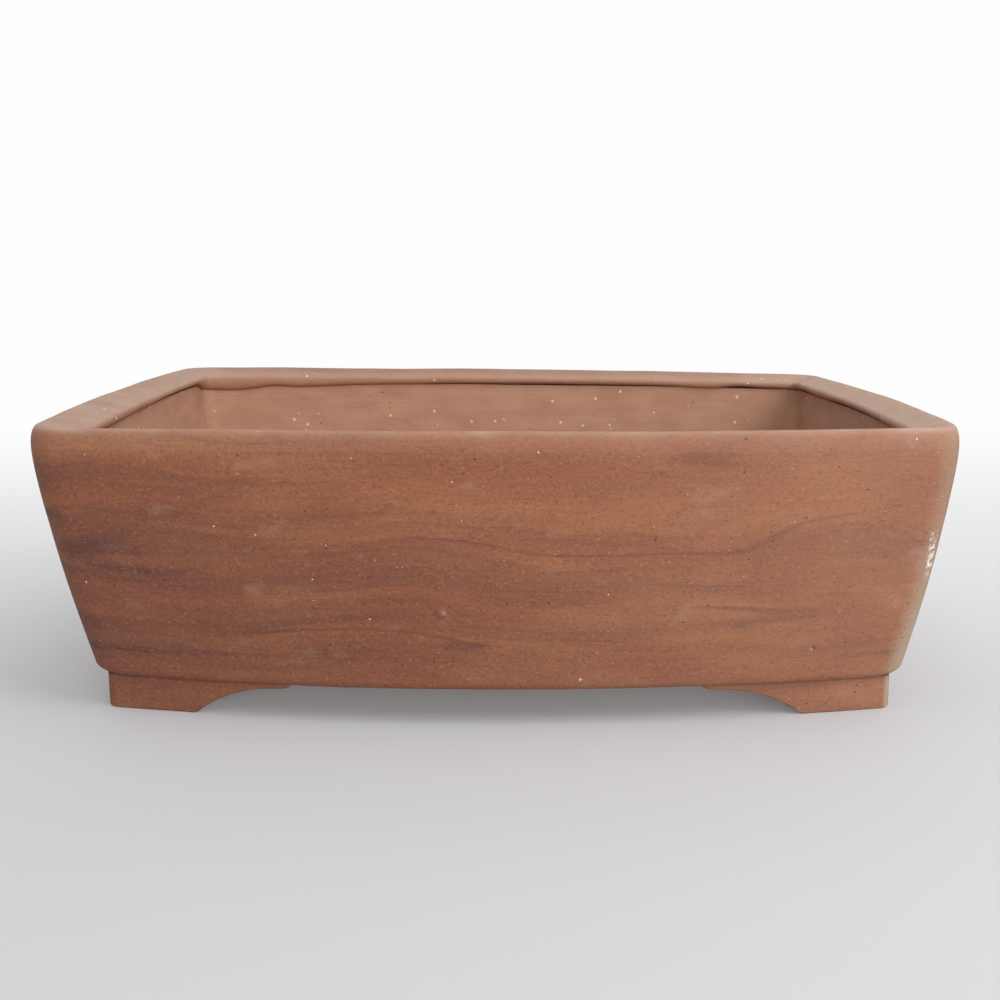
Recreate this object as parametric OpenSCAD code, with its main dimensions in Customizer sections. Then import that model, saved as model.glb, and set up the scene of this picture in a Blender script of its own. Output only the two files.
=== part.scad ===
// Slab-built bonsai pot in unglazed brown stoneware.
// A floor slab carries four wall slabs, mitred at the corners. Four lip strips lie on the
// walls and lean in over the soil, four soft coils seal the inside seams at the floor, and
// four bracket feet stand under the corners.
// Origin: centre of the plane the feet stand on. +X runs along the length, -Y is the front,
// +Z is up. Lengths are in millimetres, angles in degrees.

/* [Overall] */
// Length over the bowed end walls
pot_length = 180; // [150:1:220]
// Width over the bowed front and back walls
pot_width = 137; // [115:1:170]
// Height from the table to the ridge of the lip
pot_height = 57; // [46:1:75]

/* [Outline] */
// How far each end wall bows out in plan
end_bow = 2.5; // [1:0.5:7]
// How far the front and back walls bow out in plan, at the lip
long_bow = 5; // [1:0.5:7]
// How much further the front and back walls bow out at the foot line
foot_line_bow = 3.2; // [0:0.1:4]
// Radius of the upright corners, outside
corner_radius = 8.5; // [5:0.5:12]
// Radius of the upright corners, inside
inner_corner_radius = 4; // [2.5:0.5:12]

/* [Walls] */
// Thickness of the wall slabs
wall_thickness = 7.5; // [4.5:0.1:9.5]
// How far a wall leans in from lip to foot line, if it were flat
wall_lean = 5; // [4:0.1:10]
// How much further it leans in at the foot line because it bellies out above
wall_belly = 2.3; // [0:0.1:5]
// Stretch below the lip over which a wall turns from upright into its lean
shoulder_height = 4; // [0.5:0.5:8]

/* [Lip] */
// Height of the lip strips, from the tops of the walls to the ridge
lip_height = 3.8; // [3:0.1:6]
// How far the lip reaches in past the inside of the wall
lip_overhang = 1.5; // [0.5:0.1:5]
// How far the lip's top falls from the ridge to the nose
lip_fall = 1.4; // [0.5:0.1:2]
// How far the ridge stands in from the widest line of the pot
ridge_inset = 1.3; // [0.5:0.1:2.5]
// Radius of the lip's inside corners
lip_corner_radius = 2; // [1:0.5:6]

/* [Floor] */
// Thickness of the floor slab
floor_thickness = 6; // [4.5:0.1:9]
// Radius of the pot's bottom edge
bottom_edge_radius = 1.8; // [1:0.1:4]
// Size of the coil pressed into the seam between floor and wall
seam_coil = 5; // [3:0.1:7]

/* [Holes] */
// Diameter of the two drain holes
drain_hole_d = 14; // [8:0.5:20]
// Distance between the drain holes
drain_hole_spacing = 76; // [50:1:90]
// Diameter of the four holes for tie-down wire
wire_hole_d = 4; // [3:0.25:6]
// Distance from the seam coils at the ends to the middle of a wire hole
wire_hole_end_margin = 14; // [6:0.5:20]
// Distance from the front and back seam coils to the middle of a wire hole
wire_hole_side_margin = 18; // [6:0.5:24]

/* [Feet] */
// Height of the feet
foot_height = 7; // [5:0.1:10]
// Thickness of the feet's legs, in plan
foot_thickness = 7; // [5:0.1:9]
// How far the feet stand in from the pot's bottom edge
foot_inset = 2.6; // [1.5:0.1:4]
// Radius of the feet's corners, in plan
foot_corner_radius = 2.5; // [1:0.5:5]
// Flat stretch of a foot's leg along the front or back
foot_flat_long = 18; // [15:0.5:22]
// Flat stretch of a foot's leg along an end
foot_flat_end = 13; // [12.5:0.5:18]
// Thickness left above the arch at the tip of a leg
foot_tip = 1.4; // [1:0.1:3]
// Level stretch at the tip of a leg
foot_tip_run = 4.2; // [1:0.1:6]
// Steepest slope of the arch
arch_slope = 38; // [25:1:60]
// Radius where the arch leaves the table
arch_heel_radius = 1.2; // [0.5:0.1:6]

/* [Hidden] */

// Fired clay, the coils a little darker, and the bare rims of the feet a little warmer
wall_clay = [0.55, 0.35, 0.26];
lip_clay = [0.60, 0.43, 0.35];
floor_clay = [0.52, 0.34, 0.25];
coil_clay = [0.48, 0.31, 0.23];
foot_clay = [0.58, 0.37, 0.27];

// Half the length and width between the corners, before the walls bow out
half_length = pot_length / 2 - end_bow;
half_width = pot_width / 2 - long_bow;

// Levels, from the table up
body_z = foot_height;
floor_top_z = body_z + floor_thickness;
seam_z = pot_height - lip_height;

// How far the lip reaches in from the outside of the wall
lip_reach = wall_thickness + lip_overhang;

// The lip's nose is half round, from its top down to the level of the wall tops
nose_radius = (lip_height - lip_fall) / 2;

mitre_angle = 45; // how far a corner turns on each side of its mitre
corner_steps = 5; // stations round half a corner
side_steps = 18;  // stations along a wall
height_steps = 8; // levels up a wall
round_steps = 6;  // steps round a small edge
cut = 1;          // how far a cutting tool stands past what it cuts
hole_fn = 64;

// Share of the way down from the wall tops to the foot line, 0 above the walls
function drop(z) = max(0, (seam_z - z) / (seam_z - body_z));

// Eases from level into a straight slope, from 0 at 0 to 1 at 1
shoulder_share = shoulder_height / (seam_z - body_z);
function rounded(t) = norm([t, shoulder_share]) - shoulder_share;
function eased(t) = rounded(t) / rounded(1);

// How far the outside of the wall has leaned in at a level
function lean(z) = wall_lean * eased(drop(z)) + wall_belly * pow(drop(z), 2);

function long_bow_at(z) = long_bow + foot_line_bow * eased(drop(z));

// Stations from one mitre to the next: [place along the side from -1 to 1, share of the
// way round the half corner to the mitre]
stations = [
    for (i = [corner_steps:-1:1]) [-1, i / corner_steps],
    for (i = [0:side_steps]) [2 * i / side_steps - 1, 0],
    for (i = [1:corner_steps]) [1, i / corner_steps]
];

// A point of a bowed side that faces -Y. run is half the side's length, off its distance
// from the centre, r the radius of its corners
function side_point(station, run, off, bow, r) =
    let (t = station[0],
         a = run - r,
         tilt = atan(2 * bow * t / a),
         turn = tilt + station[1] * (sign(t) * mitre_angle - tilt))
    [t * a + r * sin(turn), r - off - bow * (1 - t * t) - r * cos(turn)];

// A section point is [depth into the clay from the outside, level, corner radius there]
function long_point(station, q) =
    let (inset = lean(q[1]) + q[0])
    side_point(station, half_length - inset, half_width - inset, long_bow_at(q[1]), q[2]);

function end_point(station, q) =
    let (inset = lean(q[1]) + q[0])
    side_point(station, half_width - inset, half_length - inset, end_bow, q[2]);

function quarter_turn(p) = [-p[1], p[0]];

// Closed outline of the pot at a section point, counter-clockwise from above
function outline(q) =
    let (front = [for (s = stations) long_point(s, q)],
         right = [for (s = stations) quarter_turn(end_point(s, q))],
         last = len(stations) - 2)
    [
        for (i = [0:last]) front[i],
        for (i = [0:last]) right[i],
        for (i = [0:last]) -front[i],
        for (i = [0:last]) -right[i]
    ];

// Solid through rings of points that all have the same number of points
module loft(rings) {
    n = len(rings[0]);
    m = len(rings);
    polyhedron(
        points = [for (ring = rings) each ring],
        faces = [
            [for (j = [0:n - 1]) j],
            for (i = [0:m - 2], j = [0:n - 1])
                let (k = (j + 1) % n)
                each [
                    [i * n + j, (i + 1) * n + k, i * n + k],
                    [i * n + j, (i + 1) * n + j, (i + 1) * n + k]
                ],
            [for (j = [n - 1:-1:0]) (m - 1) * n + j]
        ],
        convexity = 8
    );
}

// A section swept from mitre to mitre: the long sides face -Y, the ends face +X
module long_sweep(section)
    loft([for (s = stations) [for (q = section) [each long_point(s, q), q[1]]]]);

module end_sweep(section)
    loft([for (s = stations) [for (q = section) [each quarter_turn(end_point(s, q)), q[1]]]]);

// Places a front piece at the back, or a right piece at the left
module opposite() rotate([0, 0, 180]) children();

// Levels at which a wall is drawn, the top of the seam coil among them
wall_levels = [
    floor_top_z,
    for (i = [0:height_steps])
        floor_top_z + seam_coil + i / height_steps * (seam_z - floor_top_z - seam_coil)
];
wall_section = [
    for (i = [len(wall_levels) - 1:-1:0]) [0, wall_levels[i], corner_radius],
    for (z = wall_levels) [wall_thickness, z, inner_corner_radius]
];

// Corner radius on its way from the outside of the lip to the nose
function lip_radius_at(depth) =
    corner_radius + (lip_corner_radius - corner_radius) * depth / lip_reach;

nose_depth = lip_reach - nose_radius;
lip_profile = [
    for (i = [0:round_steps])
        let (a = 90 * i / round_steps)
        [ridge_inset * (1 - cos(a)), seam_z + lip_height * sin(a)],
    for (i = [0:2 * round_steps])
        let (a = 90 - 90 * i / round_steps)
        [nose_depth + nose_radius * cos(a), seam_z + nose_radius * (1 + sin(a))]
];
lip_section = [
    for (i = [len(lip_profile) - 1:-1:0])
        let (p = lip_profile[i])
        [p[0], p[1], lip_radius_at(p[0])]
];

// The coil is smoothed to a hollow curve from the floor up to the wall
coil_section = [
    [wall_thickness, floor_top_z, inner_corner_radius],
    for (i = [0:round_steps])
        let (a = 90 * i / round_steps)
        [
            wall_thickness + seam_coil * (1 - sin(a)),
            floor_top_z + seam_coil * (1 - cos(a)),
            inner_corner_radius
        ]
];

module wall_on_long_side() color(wall_clay) long_sweep(wall_section);
module wall_on_end() color(wall_clay) end_sweep(wall_section);
module lip_on_long_side() color(lip_clay) long_sweep(lip_section);
module lip_on_end() color(lip_clay) end_sweep(lip_section);
module coil_on_long_side() color(coil_clay) long_sweep(coil_section);
module coil_on_end() color(coil_clay) end_sweep(coil_section);

// The wire holes keep their margins from the inner edges of the seam coils
coil_edge_inset = lean(floor_top_z) + wall_thickness + seam_coil;
wire_hole_x = half_length - coil_edge_inset - wire_hole_end_margin;
wire_hole_y = half_width - coil_edge_inset - wire_hole_side_margin;

module floor_hole(d)
    translate([0, 0, body_z - cut])
        cylinder(d = d, h = floor_thickness + 2 * cut, $fn = hole_fn);

// The floor's edge carries on the line of the walls down to the rounded bottom edge
floor_edge = [
    for (i = [0:round_steps])
        let (a = 90 * i / round_steps)
        [bottom_edge_radius * (1 - sin(a)), body_z + bottom_edge_radius * (1 - cos(a)), corner_radius],
    [0, floor_top_z, corner_radius]
];

module floor_slab()
    color(floor_clay)
        difference() {
            loft([for (q = floor_edge) [for (p = outline(q)) [each p, q[1]]]]);
            for (x = [-1, 1])
                translate([x * drain_hole_spacing / 2, 0, 0]) floor_hole(drain_hole_d);
            for (x = [-1, 1], y = [-1, 1])
                translate([x * wire_hole_x, y * wire_hole_y, 0]) floor_hole(wire_hole_d);
        }

// The arch under a leg: up round the heel, then a long hollow sweep to the level tip
arch_rise = foot_height - foot_tip;
arch_run = arch_rise * sin(arch_slope) / (1 - cos(arch_slope));
arch_sweep_radius = arch_rise / (1 - cos(arch_slope)) - arch_heel_radius;
arch_curve = [
    for (i = [0:round_steps])
        let (a = arch_slope * i / round_steps)
        [arch_heel_radius * sin(a), arch_heel_radius * (1 - cos(a))],
    for (i = [round_steps - 1:-1:0])
        let (a = arch_slope * i / round_steps)
        [arch_run - arch_sweep_radius * sin(a), arch_rise - arch_sweep_radius * (1 - cos(a))]
];

function leg_length(flat) = flat + arch_run + foot_tip_run;

// The space under an arch, in [distance past the flat, height]
module arch_opening()
    polygon([
        [0, -cut],
        each arch_curve,
        [arch_run + foot_tip_run + cut, arch_rise],
        [arch_run + foot_tip_run + cut, -cut]
    ]);

// A foot's outer face stands in from the pot's bottom edge, and follows its outline
foot_outside = [foot_inset, body_z, foot_corner_radius];
foot_inside = [foot_inset + foot_thickness, body_z, foot_corner_radius];
foot_corner_x = half_length - lean(body_z) - foot_inset;
foot_corner_y = half_width - lean(body_z) - foot_inset;

// Plan of the front right foot, an L along the outline
module foot_plan()
    intersection() {
        difference() {
            polygon(outline(foot_outside));
            polygon(outline(foot_inside));
        }
        translate([
            foot_corner_x - leg_length(foot_flat_long),
            -foot_corner_y + leg_length(foot_flat_end) - pot_width
        ])
            square([pot_length, pot_width]);
    }

module front_right_foot_shape()
    color(foot_clay)
        difference() {
            linear_extrude(foot_height) foot_plan();
            translate([foot_corner_x - foot_flat_long, 0, 0])
                rotate([90, 0, 0])
                    linear_extrude(pot_width) mirror([1, 0]) arch_opening();
            translate([0, foot_flat_end - foot_corner_y, 0])
                rotate([90, 0, 90])
                    linear_extrude(pot_length) arch_opening();
        }

module front_wall() wall_on_long_side();
module back_wall() opposite() wall_on_long_side();
module right_wall() wall_on_end();
module left_wall() opposite() wall_on_end();

module front_lip() lip_on_long_side();
module back_lip() opposite() lip_on_long_side();
module right_lip() lip_on_end();
module left_lip() opposite() lip_on_end();

module front_seam_coil() coil_on_long_side();
module back_seam_coil() opposite() coil_on_long_side();
module right_seam_coil() coil_on_end();
module left_seam_coil() opposite() coil_on_end();

module front_right_foot() front_right_foot_shape();
module front_left_foot() mirror([1, 0, 0]) front_right_foot_shape();
module back_right_foot() mirror([0, 1, 0]) front_right_foot_shape();
module back_left_foot() opposite() front_right_foot_shape();

floor_slab();
front_wall();
back_wall();
left_wall();
right_wall();
front_lip();
back_lip();
left_lip();
right_lip();
front_seam_coil();
back_seam_coil();
left_seam_coil();
right_seam_coil();
front_left_foot();
front_right_foot();
back_left_foot();
back_right_foot();
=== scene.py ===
# %% [markdown]
# # A slab-built bonsai pot
#
# The real pot is a floor slab, four wall slabs, four lip strips, four seam coils and four bracket
# feet, luted together while the clay was soft and then fired without a glaze. The fixed frame holds
# those seventeen pieces at their exact sizes. This script gives each of them a skin with the
# unevenness of handwork and one marbled stoneware, and then sets up a floor, soft light and a camera.

# %% Load the fixed frame
import math

import bmesh
import bpy
import numpy as np
from mathutils import Matrix, Vector, geometry, noise


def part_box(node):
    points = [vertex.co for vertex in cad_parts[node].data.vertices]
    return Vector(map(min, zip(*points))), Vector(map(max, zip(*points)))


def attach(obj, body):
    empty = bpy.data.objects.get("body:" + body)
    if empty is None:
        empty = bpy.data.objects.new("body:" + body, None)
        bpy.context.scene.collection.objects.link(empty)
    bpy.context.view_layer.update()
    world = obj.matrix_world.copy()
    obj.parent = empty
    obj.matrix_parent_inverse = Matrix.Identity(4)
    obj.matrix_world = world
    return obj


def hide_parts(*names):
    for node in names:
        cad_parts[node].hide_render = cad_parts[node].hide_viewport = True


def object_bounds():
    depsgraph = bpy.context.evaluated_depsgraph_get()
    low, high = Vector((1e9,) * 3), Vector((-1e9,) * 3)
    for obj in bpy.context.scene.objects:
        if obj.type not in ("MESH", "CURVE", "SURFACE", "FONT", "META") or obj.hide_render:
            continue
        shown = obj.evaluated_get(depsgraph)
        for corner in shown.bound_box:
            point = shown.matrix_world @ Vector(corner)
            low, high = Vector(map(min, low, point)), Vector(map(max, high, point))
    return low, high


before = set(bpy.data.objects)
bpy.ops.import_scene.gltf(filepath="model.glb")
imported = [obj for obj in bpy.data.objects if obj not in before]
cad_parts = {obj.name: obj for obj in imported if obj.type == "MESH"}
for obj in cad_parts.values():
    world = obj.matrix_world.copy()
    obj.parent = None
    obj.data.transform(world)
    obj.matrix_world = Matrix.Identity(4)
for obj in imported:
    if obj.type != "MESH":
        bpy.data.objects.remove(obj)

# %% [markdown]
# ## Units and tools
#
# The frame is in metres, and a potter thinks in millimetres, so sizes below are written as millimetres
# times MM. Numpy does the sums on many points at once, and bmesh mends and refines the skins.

MM = 0.001
frame_low, frame_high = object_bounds()
print("frame:", [round(side / MM, 1) for side in frame_high - frame_low], "mm")

# %% [markdown]
# ## Reading the frame
#
# Levels and overall sizes come from the frame's boxes, so the skins always end where the solids do.
# A box can't tell how a wall bows or how round a corner is, so those few sizes are named here.

# %% Levels and sizes
ridge_z = frame_high.z
foot_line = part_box("floor_slab")[0].z
floor_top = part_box("floor_slab")[1].z
seam_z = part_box("front_wall")[1].z
coil_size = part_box("front_seam_coil")[1].z - floor_top
lip_height = ridge_z - seam_z

END_BOW = 2.5 * MM
LONG_BOW = 5 * MM
FOOT_LINE_BOW = 3.2 * MM
CORNER_RADIUS = 8.5 * MM
INNER_CORNER_RADIUS = 4 * MM
LIP_CORNER_RADIUS = 2 * MM
WALL_THICKNESS = 7.5 * MM
WALL_LEAN = 5 * MM
WALL_BELLY = 2.3 * MM
SHOULDER = 4 * MM
LIP_REACH = 9 * MM
LIP_FALL = 1.4 * MM
RIDGE_INSET = 1.3 * MM
BOTTOM_EDGE = 1.8 * MM
FOOT_INSET = 2.6 * MM
FOOT_THICKNESS = 7 * MM
FOOT_CORNER_RADIUS = 2.5 * MM

half_length = frame_high.x - END_BOW
half_width = frame_high.y - LONG_BOW
print("foot line", round(foot_line / MM, 2), "floor", round(floor_top / MM, 2),
      "seam", round(seam_z / MM, 2), "ridge", round(ridge_z / MM, 2))

# %% [markdown]
# ## The outline
#
# Seen from above, the pot is a rectangle whose four sides bow out and whose corners are arcs. One
# rule gives any point of it: a *station* says where along a side we are, and a depth, a level and a
# corner radius say which surface of the clay we are on. Every piece below is swept along these
# stations, so neighbours meet exactly.

# %% Outline of the pot at any depth and level
def eased(share):
    """Eases from level into a straight slope, from 0 at 0 to 1 at 1."""
    softness = SHOULDER / (seam_z - foot_line)
    return (np.hypot(share, softness) - softness) / (np.hypot(1, softness) - softness)

def drop(z):
    """How far down the wall a level is, from 0 at the seam under the lip to 1 at the foot line."""
    return np.clip((seam_z - z) / (seam_z - foot_line), 0, None)

def lean(z):
    """How far in from the widest outline the wall's outside stands at a level."""
    return WALL_LEAN * eased(drop(z)) + WALL_BELLY * drop(z) ** 2

SIDES = ("front", "right", "back", "left")

def side_points(side, along, turned, depth, z, radius):
    """Points of one side. along runs from -1 to 1, and turned from 0 to 1 round half a corner."""
    quarter = SIDES.index(side)
    inset = lean(z) + depth
    if quarter % 2 == 0:
        run, off = half_length - inset, half_width - inset
        bow = LONG_BOW + FOOT_LINE_BOW * eased(drop(z))
    else:
        run, off, bow = half_width - inset, half_length - inset, END_BOW
    arc_start = run - radius
    tilt = np.arctan(2 * bow * along / arc_start)
    turn = tilt + turned * (np.sign(along) * math.pi / 4 - tilt)
    x = along * arc_start + radius * np.sin(turn)
    y = radius - off - bow * (1 - along ** 2) - radius * np.cos(turn)
    for _ in range(quarter):
        x, y = -y, x
    return np.stack(np.broadcast_arrays(x, y, z), axis=-1)

FINE = 0.6 * MM
COARSE = 1.1 * MM

def side_stations(side):
    """Stations from mitre to mitre, as two lists: along and turned. The front has more of them."""
    spacing = FINE if side == "front" else COARSE
    half_side = half_length if side in ("front", "back") else half_width
    corner = round(CORNER_RADIUS * math.pi / 4 / spacing)
    middle = round(2 * half_side / spacing)
    round_corner = np.linspace(1, 0, corner + 1)[:-1]
    along = np.concatenate([-np.ones(corner), np.linspace(-1, 1, middle + 1), np.ones(corner)])
    turned = np.concatenate([round_corner, np.zeros(middle + 1), round_corner[::-1]])
    return along, turned

print("stations:", {side: len(side_stations(side)[0]) for side in SIDES})

# %% [markdown]
# ## Handwork
#
# Rolled slabs are never flat, and a pot warps a little as it dries and fires: two corners rise, the
# body leans to one side, and the inside sits off centre. One rule moves every point by up to about two
# millimetres, by where the point is in space and how deep in the clay it lies, so pieces that touch
# still touch. Its lift fades out at the table, where the feet were rubbed level. The slow waves come
# from a noise that takes its start from the clock unless it is given a seed, so it is given one.

# %% How the clay moved
BACK_TWIST = 1.1 * MM
FRONT_TWIST = 0.15 * MM
SIDE_LEAN = 0.73 * MM
INSIDE_SHIFT = 0.8 * MM
INSIDE_SPREAD = 2.0 * MM
INSIDE_FROM = 6 * MM
WAVES = ((38 * MM, 0.22 * MM), (13 * MM, 0.08 * MM), (5 * MM, 0.03 * MM))
WAVE_SEED = 11
noise.seed_set(WAVE_SEED)

def worked_by_hand(points, depth):
    """Moves points as handwork did. depth is how far each lies from the outside of the clay."""
    flat = points.reshape(-1, 3)
    moved = flat.copy()
    inside = np.clip(np.broadcast_to(depth, points.shape[:-1]).reshape(-1) / INSIDE_FROM, 0, 1)
    height = flat[:, 2] / ridge_z
    off_table = np.clip(flat[:, 2] / foot_line, 0, 1)
    towards_back = np.clip(0.5 + flat[:, 1] / half_width / 2, 0, 1)
    sideways = flat[:, 0] / half_length
    spread = INSIDE_SPREAD * (1 - 0.5 * sideways) * sideways * towards_back ** 3
    moved[:, 0] += (INSIDE_SHIFT + spread) * inside - SIDE_LEAN * (height - 0.5)
    tilt = FRONT_TWIST + (BACK_TWIST - FRONT_TWIST) * towards_back
    moved[:, 2] -= tilt * sideways * height * off_table
    for size, reach in WAVES:
        swell = np.array([noise.noise_vector(Vector(p) / size) for p in flat])
        swell *= reach
        swell[:, :2] *= (1 + 0.5 * inside)[:, None]
        swell[:, 2] *= off_table
        moved += swell
    return moved.reshape(points.shape)

rim_corner = np.array([[half_length, half_width, ridge_z]])
print("a rim corner moves by", (worked_by_hand(rim_corner, 0.0) - rim_corner).round(5).tolist(), "m")

# %% [markdown]
# ## Sweeping a strip of clay
#
# A wall, a lip or a coil is a closed section carried from one mitre to the next, which is how the
# real strips were cut and laid. The section's points are numbered the same way at each station, so
# the skin is a plain grid of quads with a cap on each mitre.

# %% Mesh helpers
SHARP_ANGLE = math.radians(50)

def new_piece(name, points, faces):
    """A smooth-shaded object whose faces all look outwards and whose sharp edges stay sharp."""
    mesh = bpy.data.meshes.new(name)
    mesh.from_pydata(points.tolist(), [], faces)
    shell = bmesh.new()
    shell.from_mesh(mesh)
    bmesh.ops.recalc_face_normals(shell, faces=shell.faces)
    shell.to_mesh(mesh)
    shell.free()
    mesh.polygons.foreach_set("use_smooth", [True] * len(mesh.polygons))
    mesh.set_sharp_from_angle(angle=SHARP_ANGLE)
    piece = bpy.data.objects.new(name, mesh)
    bpy.context.scene.collection.objects.link(piece)
    return piece

def swept(name, grid):
    """A closed strip through grid, whose rows are stations and whose columns go round a section."""
    rows, columns = grid.shape[:2]
    index = np.arange(rows * columns).reshape(rows, columns)
    nearer, further = index[:-1], index[1:]
    quads = np.stack([nearer, np.roll(nearer, -1, 1), np.roll(further, -1, 1), further], axis=-1)
    faces = quads.reshape(-1, 4).tolist()
    faces += [index[0, ::-1].tolist(), index[-1].tolist()]
    return new_piece(name, grid.reshape(-1, 3), faces)

def mark_inside(piece, depth):
    """Records how deep in the clay each point lies, for the finish: 0 outside, 1 inside."""
    count = len(piece.data.vertices)
    share = np.clip(np.resize(depth, count) / WALL_THICKNESS, 0, 1)
    kept = piece.data.attributes.new("inside", "FLOAT", "POINT")
    kept.data.foreach_set("value", share.astype(np.float32))

def strip(side, name, section):
    """Sweeps a section of (depth, level, corner radius) along one side and works it by hand."""
    along, turned = side_stations(side)
    depth, z, radius = np.array(section).T
    grid = side_points(side, along[:, None], turned[:, None], depth, z, radius)
    piece = swept(name, worked_by_hand(grid, depth))
    mark_inside(piece, depth)
    return piece

def arc(start, end, steps):
    """Even angles from start to end, given in degrees."""
    return np.radians(np.linspace(start, end, steps + 1))

# %% [markdown]
# ## Walls
#
# Each wall is one rolled slab, upright under the lip and then leaning in towards the foot line with
# a slight belly. Its section goes down the outside, across the seam on the floor, up the inside and
# back across the seam under the lip. The front is sampled more finely, because it carries a small
# blister and is seen closest.

# %% Wall skins
def levels(low, high, spacing):
    """Even levels no further apart than about spacing."""
    return np.linspace(low, high, round((high - low) / spacing) + 1)

def wall_section():
    """(depth, level, corner radius) down the outside, along the floor seam, up and back along the lip."""
    across = np.linspace(0, WALL_THICKNESS, 6)
    radii = np.interp(across, [0, WALL_THICKNESS], [CORNER_RADIUS, INNER_CORNER_RADIUS])
    outside = [(0, z, CORNER_RADIUS) for z in levels(floor_top, seam_z, FINE)[::-1]]
    inside = [(WALL_THICKNESS, z, INNER_CORNER_RADIUS) for z in levels(floor_top, seam_z, COARSE)]
    seam_on_floor = [(d, floor_top, r) for d, r in zip(across, radii)][1:-1]
    seam_under_lip = [(d, seam_z, r) for d, r in zip(across, radii)][-2:0:-1]
    return outside + seam_on_floor + inside + seam_under_lip

walls = {}
for side in SIDES:
    name = side + "_wall"
    walls[name] = strip(side, name + "_skin", wall_section())
print("walls:", {name: len(piece.data.polygons) for name, piece in walls.items()})

# %% [markdown]
# ## A blister and a pock
#
# Air caught in a slab swells in the kiln and lifts a small round blister, and a grain that falls out
# leaves a pock. Both are a bell curve added to the wall's outside. The wall's own net is too wide for
# something so small, so the faces near the place are divided first.

# %% Marks on the front wall
BLISTER = (-10 * MM, 23 * MM)
BLISTER_RADIUS = 0.85 * MM
BLISTER_HEIGHT = 0.65 * MM
POCK = (60.5 * MM, 14.5 * MM)
POCK_RADIUS = 0.35 * MM
POCK_DEPTH = 0.5 * MM
DIVIDED_OUT_TO = 3.5
DIVISIONS = 2
front_face = -0.8 * half_width

def press(piece, place, radius, height):
    """Raises a round blister on the front of a piece, or sinks a pock where height is negative."""
    x, z = place
    mesh = bmesh.new()
    mesh.from_mesh(piece.data)

    def away(vertex):
        return math.hypot(vertex.co.x - x, vertex.co.z - z)

    def near(vertex):
        return away(vertex) < DIVIDED_OUT_TO * radius and vertex.co.y < front_face

    for _ in range(DIVISIONS):
        close = [edge for edge in mesh.edges if all(near(end) for end in edge.verts)]
        bmesh.ops.subdivide_edges(mesh, edges=close, cuts=1, use_grid_fill=True)
    for vertex in mesh.verts:
        if vertex.co.y < front_face:
            vertex.co.y -= height * math.exp(-(away(vertex) / radius) ** 2)
    mesh.to_mesh(piece.data)
    mesh.free()

press(walls["front_wall"], BLISTER, BLISTER_RADIUS, BLISTER_HEIGHT)
press(walls["front_wall"], POCK, POCK_RADIUS, -POCK_DEPTH)
print("front wall:", len(walls["front_wall"].data.polygons), "faces once marked")

# %% [markdown]
# ## Lips
#
# The lip is a strip that was laid on the wall and folded in over the soil. Outside it rolls over a
# soft ridge. From there its top falls towards the soil and ends in a half-round nose, and the crease
# under the nose is the dark line that runs round the inside of the pot. The nose was pressed down by
# hand, so it hangs lower in some places. NOSE_SAG lists those places: how far along the side,
# and how far down, both in millimetres.

# %% Lip skins
nose_radius = (lip_height - LIP_FALL) / 2
nose_depth = LIP_REACH - nose_radius

NOSE_BLUR = 2.5 * MM
NOSE_BLEND = 1.5 * MM
TOP_CURVE = 1.3

NOSE_SAG = {
    "front": ((-80, -0.4), (-60, 0.2), (0, 0), (50, 0.4), (80, 0)),
    "right": ((-56, 0), (-20, -0.5), (10, -0.6), (40, -0.2), (56, -0.5), (66, 0)),
    "back": ((-90, 0), (-85, -0.2), (-78, -0.3), (-74, -0.6), (-71, -0.6), (-69, -0.4), (-67, 0.1),
             (-61, 0.2), (-53, -0.2), (-20, -0.4), (20, -0.2), (45, 0.2), (58, 0.7), (64, 1.0),
             (68, 0.5), (73, 1.0), (78, 1.7), (84, 1.9), (90, 1.5)),
    "left": ((-63.5, 1.7), (-60, 0.3), (-56, -0.5), (-30, -0.6), (0, -0.2), (40, 0.1), (56, -0.4)),
}

def nose_sag(side, along):
    """How far the nose hangs below the seam, which was left to the fingers."""
    half = half_length if side in ("front", "back") else half_width
    places, sags = np.array(NOSE_SAG[side]).T * MM
    offsets = np.linspace(-NOSE_BLUR, NOSE_BLUR, 9)
    return np.mean([np.interp(along * half + offset, places, sags) for offset in offsets], axis=0)

def lip_section():
    """(depth, level, corner radius) up the ridge, over the top, round the nose and back along the seam."""
    outside = [(RIDGE_INSET * (1 - math.cos(a)), seam_z + lip_height * math.sin(a))
               for a in arc(0, 90, 10)]
    top = [(RIDGE_INSET + (nose_depth - RIDGE_INSET) * t, ridge_z - LIP_FALL * t ** TOP_CURVE)
           for t in np.linspace(0, 1, 12)[1:-1]]
    nose = [(nose_depth + nose_radius * math.cos(a), seam_z + nose_radius * (1 + math.sin(a)))
            for a in arc(90, -90, 12)]
    seam = [(d, seam_z) for d in np.linspace(WALL_THICKNESS, 0, 6)[:-1]]
    profile = outside + top + nose + seam
    return [(d, z, CORNER_RADIUS + (LIP_CORNER_RADIUS - CORNER_RADIUS) * d / LIP_REACH)
            for d, z in profile]

def lip_skin(side):
    """A lip strip along one side, with its nose let down by nose_sag."""
    along, turned = side_stations(side)
    depth, z, radius = np.array(lip_section()).T
    grid = side_points(side, along[:, None], turned[:, None], depth, z, radius)
    on_nose = np.clip((depth - WALL_THICKNESS + NOSE_BLEND) / NOSE_BLEND, 0, 1)
    below_top = 1 - (z - seam_z) / (lip_height - LIP_FALL)
    grid[..., 2] -= nose_sag(side, along)[:, None] * on_nose * np.clip(below_top, 0, 1)
    piece = swept(side + "_lip_skin", worked_by_hand(grid, depth))
    mark_inside(piece, depth)
    return piece

lips = {}
for side in SIDES:
    name = side + "_lip"
    lips[name] = lip_skin(side)
print("lips:", {name: len(piece.data.polygons) for name, piece in lips.items()})

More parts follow.
